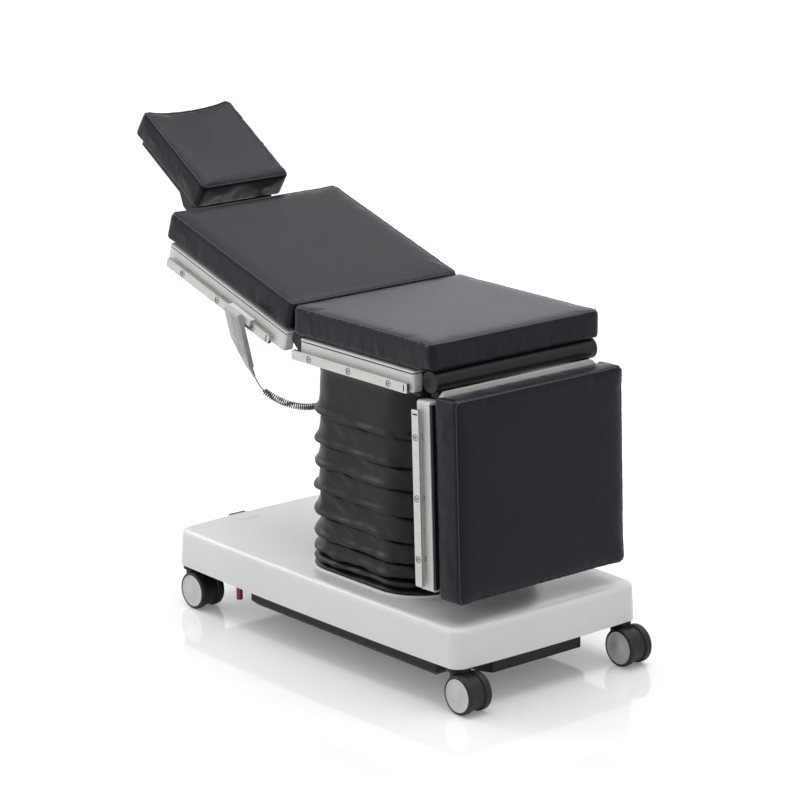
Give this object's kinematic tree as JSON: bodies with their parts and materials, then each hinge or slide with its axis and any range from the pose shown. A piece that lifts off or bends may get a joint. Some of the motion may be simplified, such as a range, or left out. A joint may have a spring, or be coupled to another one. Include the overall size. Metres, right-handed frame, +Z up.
{
  "type": "operating table",
  "caption": "Mobile operating table: castored base, lifting column in a gaiter, tilting seat, hinged back, leg and head sections, side rails and corded handset.",
  "frame": {"origin": "on the floor under the middle of the whole table's box", "axes": "+X toward the foot end, +Y toward the far side, +Z up"},
  "size_m": [1.5694, 0.6584, 1.2731],
  "materials": {
    "cover": "moulded, semi-gloss pale grey",
    "black_steel": "black powder coat",
    "column_steel": "grey paint",
    "bright_steel": "ground and plated",
    "beam_paint": "pale grey powder coat",
    "board": "pale laminate",
    "rail": "brushed stainless",
    "pad": "black coated upholstery over foam",
    "gaiter": "black coated cloth",
    "handset": "pale grey moulding",
    "hook": "white moulding",
    "cord": "dark grey jacket",
    "castor": "slate grey moulding",
    "tyre": "dark tyre on a pale disc",
    "red": "red moulding"
  },
  "bodies": {
    "root": {"base_cover": "cover", "chassis_plate": "black_steel", "chassis_tray": "black_steel", "drive_unit": "black_steel", "inlet_cap": "cover", "column_outer": "column_steel", "lift_cylinder": "bright_steel", "gaiter": "gaiter"},
    "brake": {"brake_lever": "black_steel", "brake_peg": "red"},
    "lift_middle": {"column_middle": "column_steel"},
    "lift_head": {"column_inner": "column_steel", "lift_rod": "bright_steel"},
    "tilt_head": {"tilt_yoke": "column_steel", "trend_shaft": "bright_steel", "roll_shaft": "bright_steel"},
    "seat": {"seat_beams": "beam_paint", "seat_crossbars": "black_steel", "seat_under_plate": "black_steel", "seat_board": "board", "seat_cushion": "pad", "seat_rails": "rail", "seat_rail_fixings": "rail", "seat_hinge_blocks": "black_steel", "back_hinge_pins": "bright_steel", "hinge_tube": "black_steel", "cord_socket": "cord", "gaiter_plate": "black_steel"},
    "back": {"back_beams": "beam_paint", "back_crossbars": "black_steel", "back_board": "board", "back_cushion": "pad", "back_rails": "rail", "back_rail_fixings": "rail", "handset": "handset", "handset_hook": "hook", "cord_gland": "cord", "handset_cord_ends": "cord", "handset_cord_coil": "cord"},
    "leg": {"leg_beams": "beam_paint", "leg_crossbars": "black_steel", "leg_board": "board", "leg_cushion": "pad", "leg_rails": "rail", "leg_rail_fixings": "rail"},
    "head": {"head_board": "board", "head_arms": "black_steel", "head_cushion": "pad"},
    "castor_1": {"castor_fork_1": "castor"},
    "wheel_1_near": {"castor_wheel_1_near": "tyre"},
    "wheel_1_far": {"castor_wheel_1_far": "tyre"},
    "castor_2": {"castor_fork_2": "castor"},
    "wheel_2_near": {"castor_wheel_2_near": "tyre"},
    "wheel_2_far": {"castor_wheel_2_far": "tyre"},
    "castor_3": {"castor_fork_3": "castor"},
    "wheel_3_near": {"castor_wheel_3_near": "tyre"},
    "wheel_3_far": {"castor_wheel_3_far": "tyre"},
    "castor_4": {"castor_fork_4": "castor"},
    "wheel_4_near": {"castor_wheel_4_near": "tyre"},
    "wheel_4_far": {"castor_wheel_4_far": "tyre"}
  },
  "joints": [
    {"name": "castor_swivel_1", "type": "hinge", "parent": "root", "child": "castor_1", "pos_m": [-0.376, -0.274, 0.1], "axis": [0, 0, 1], "continuous": true},
    {"name": "wheel_spin_1_near", "type": "hinge", "parent": "castor_1", "child": "wheel_1_near", "pos_m": [-0.341, -0.274, 0.05], "axis": [0, 1, 0], "continuous": true},
    {"name": "wheel_spin_1_far", "type": "hinge", "parent": "castor_1", "child": "wheel_1_far", "pos_m": [-0.341, -0.274, 0.05], "axis": [0, 1, 0], "continuous": true},
    {"name": "castor_swivel_2", "type": "hinge", "parent": "root", "child": "castor_2", "pos_m": [-0.376, 0.274, 0.1], "axis": [0, 0, 1], "continuous": true},
    {"name": "wheel_spin_2_near", "type": "hinge", "parent": "castor_2", "child": "wheel_2_near", "pos_m": [-0.341, 0.274, 0.05], "axis": [0, 1, 0], "continuous": true},
    {"name": "wheel_spin_2_far", "type": "hinge", "parent": "castor_2", "child": "wheel_2_far", "pos_m": [-0.341, 0.274, 0.05], "axis": [0, 1, 0], "continuous": true},
    {"name": "castor_swivel_3", "type": "hinge", "parent": "root", "child": "castor_3", "pos_m": [0.7, -0.274, 0.1], "axis": [0, 0, 1], "continuous": true},
    {"name": "wheel_spin_3_near", "type": "hinge", "parent": "castor_3", "child": "wheel_3_near", "pos_m": [0.735, -0.274, 0.05], "axis": [0, 1, 0], "continuous": true},
    {"name": "wheel_spin_3_far", "type": "hinge", "parent": "castor_3", "child": "wheel_3_far", "pos_m": [0.735, -0.274, 0.05], "axis": [0, 1, 0], "continuous": true},
    {"name": "castor_swivel_4", "type": "hinge", "parent": "root", "child": "castor_4", "pos_m": [0.7, 0.274, 0.1], "axis": [0, 0, 1], "continuous": true},
    {"name": "wheel_spin_4_near", "type": "hinge", "parent": "castor_4", "child": "wheel_4_near", "pos_m": [0.735, 0.274, 0.05], "axis": [0, 1, 0], "continuous": true},
    {"name": "wheel_spin_4_far", "type": "hinge", "parent": "castor_4", "child": "wheel_4_far", "pos_m": [0.735, 0.274, 0.05], "axis": [0, 1, 0], "continuous": true},
    {"name": "brake_turn", "type": "hinge", "parent": "root", "child": "brake", "pos_m": [-0.182, -0.205, 0.1], "axis": [0, 0, 1], "range_deg": [-15, 15]},
    {"name": "column_lift", "type": "slide", "parent": "root", "child": "lift_head", "axis": [0, 0, 1], "range_m": [-0.04, 0.26], "deforming": ["gaiter"]},
    {"name": "column_stage", "type": "slide", "parent": "root", "child": "lift_middle", "axis": [0, 0, 1], "range_m": [-0.02, 0.13]},
    {"name": "trend_tilt", "type": "hinge", "parent": "lift_head", "child": "tilt_head", "pos_m": [0.242, 0, 0.7], "axis": [0, 1, 0], "range_deg": [-25, 5]},
    {"name": "side_tilt", "type": "hinge", "parent": "tilt_head", "child": "seat", "pos_m": [0.242, 0, 0.745], "axis": [1, 0, 0], "range_deg": [-8, 8]},
    {"name": "back_hinge", "type": "hinge", "parent": "seat", "child": "back", "pos_m": [0.058, 0, 0.815], "axis": [0, -1, 0], "range_deg": [-53, 52], "deforming": ["back_cushion", "handset_cord_ends", "handset_cord_coil"]},
    {"name": "head_hinge", "type": "hinge", "parent": "back", "child": "head", "pos_m": [-0.53815, 0, 0.99935], "axis": [0, -1, 0], "range_deg": [-25, 50]},
    {"name": "leg_hinge", "type": "hinge", "parent": "seat", "child": "leg", "pos_m": [0.582, 0, 0.8073], "axis": [0, -1, 0], "range_deg": [-2, 88]}
  ],
  "couplings": [
    {"joint": "column_stage", "follows": "column_lift", "ratio": 0.5}
  ]
}
